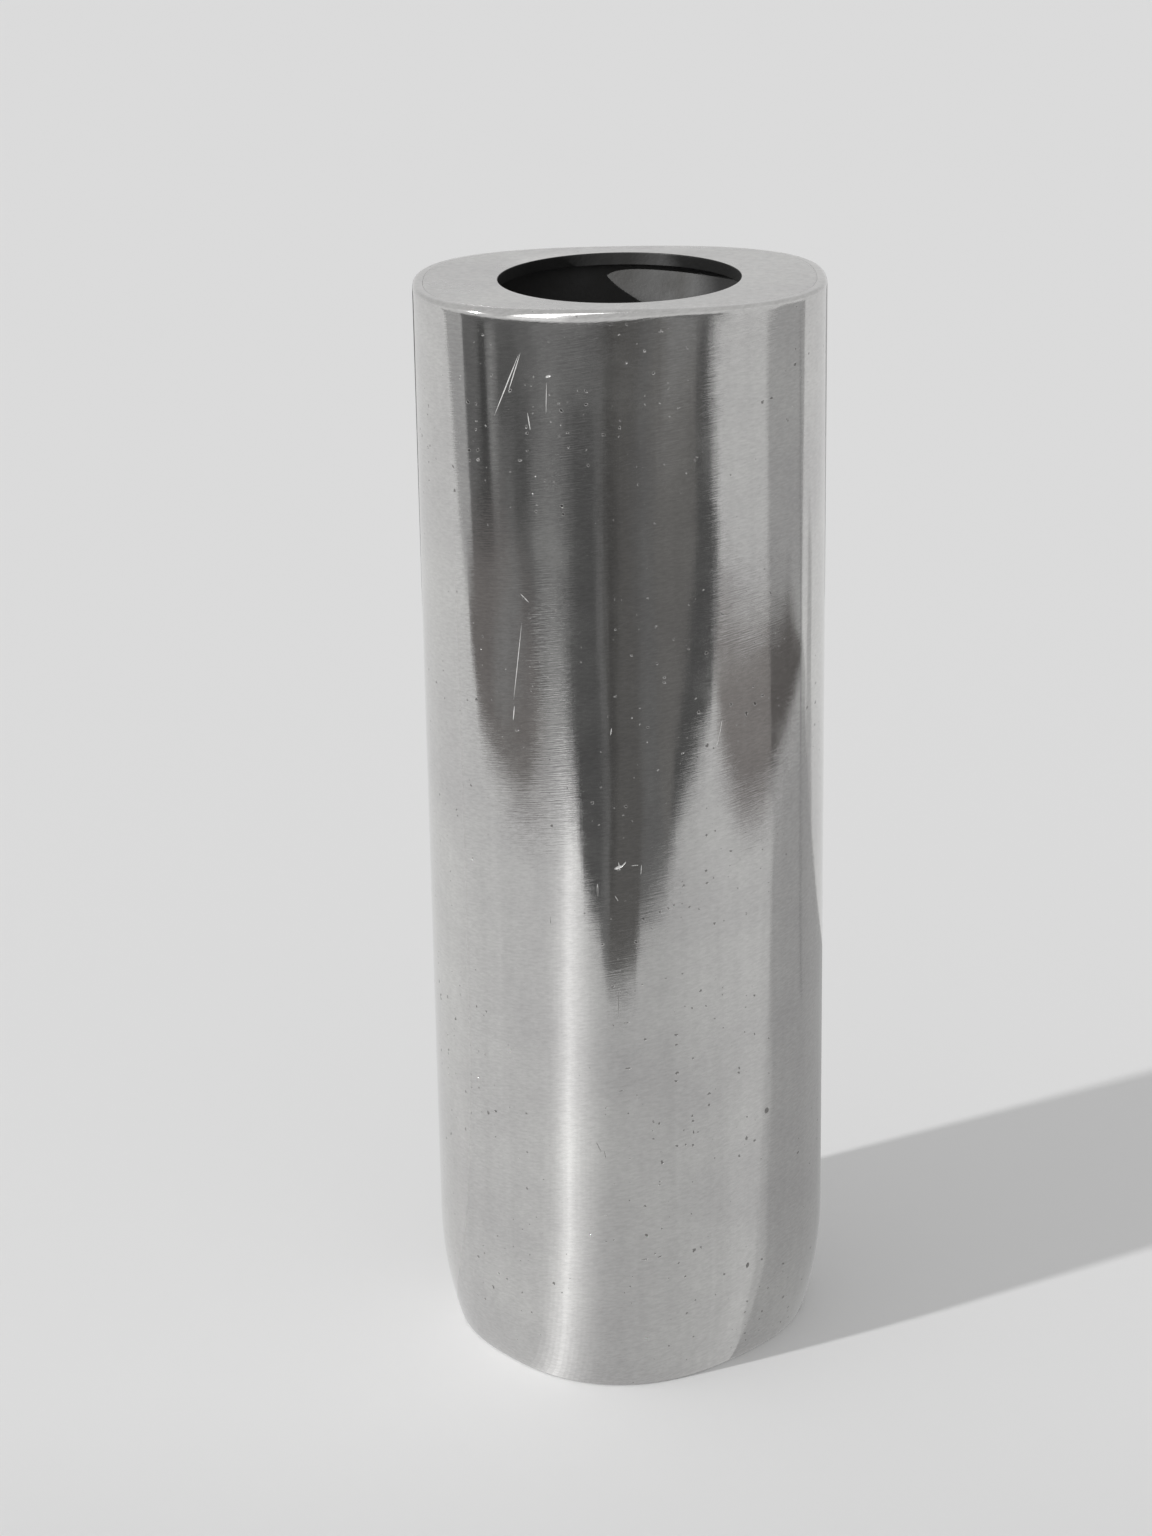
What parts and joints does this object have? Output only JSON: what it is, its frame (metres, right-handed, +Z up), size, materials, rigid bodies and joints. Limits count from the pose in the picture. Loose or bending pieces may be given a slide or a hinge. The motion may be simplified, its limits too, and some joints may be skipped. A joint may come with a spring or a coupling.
{
  "type": "candle mould",
  "caption": "Tall cast metal pillar candle mould: oval-topped sleeve with a round pouring opening, lifted off a tapered base plug with a wick screw.",
  "frame": {"origin": "middle of the foot, on the surface that the mould stands on", "axes": "+Z up along the mould, X along the mouth's long axis, -Y towards the front"},
  "size_m": [0.0798, 0.0774, 0.22],
  "materials": {
    "sleeve_aluminium": "cast, polished to a satin sheen, lightly pitted and scratched",
    "plate_aluminium": "fine matt satin",
    "plug_aluminium": "turned satin",
    "seal_silicone": "matt moulded silicone",
    "bush_brass": "turned",
    "washer_silicone": "matt moulded silicone",
    "screw_brass": "turned and knurled"
  },
  "bodies": {
    "base": {"base_plug": "plug_aluminium", "base_seal": "seal_silicone", "wick_bush": "bush_brass"},
    "sleeve": {"body_sleeve": "sleeve_aluminium", "rim_plate": "plate_aluminium"},
    "washer": {"wick_washer": "washer_silicone"},
    "screw": {"wick_screw": "screw_brass"}
  },
  "joints": [
    {"name": "sleeve_lift", "type": "slide", "parent": "base", "child": "sleeve", "axis": [0, 0, 1], "range_m": [0, 0.03]},
    {"name": "washer_travel", "type": "slide", "parent": "base", "child": "washer", "axis": [0, 0, -1], "range_m": [0, 0.004]},
    {"name": "wick_screw_turn", "type": "hinge", "parent": "washer", "child": "screw", "pos_m": [0, 0, 0.006], "axis": [0, 0, -1], "range_deg": [0, 1800]}
  ],
  "couplings": [
    {"joint": "wick_screw_turn", "follows": "washer_travel", "rad_per_m": 7853.9}
  ]
}
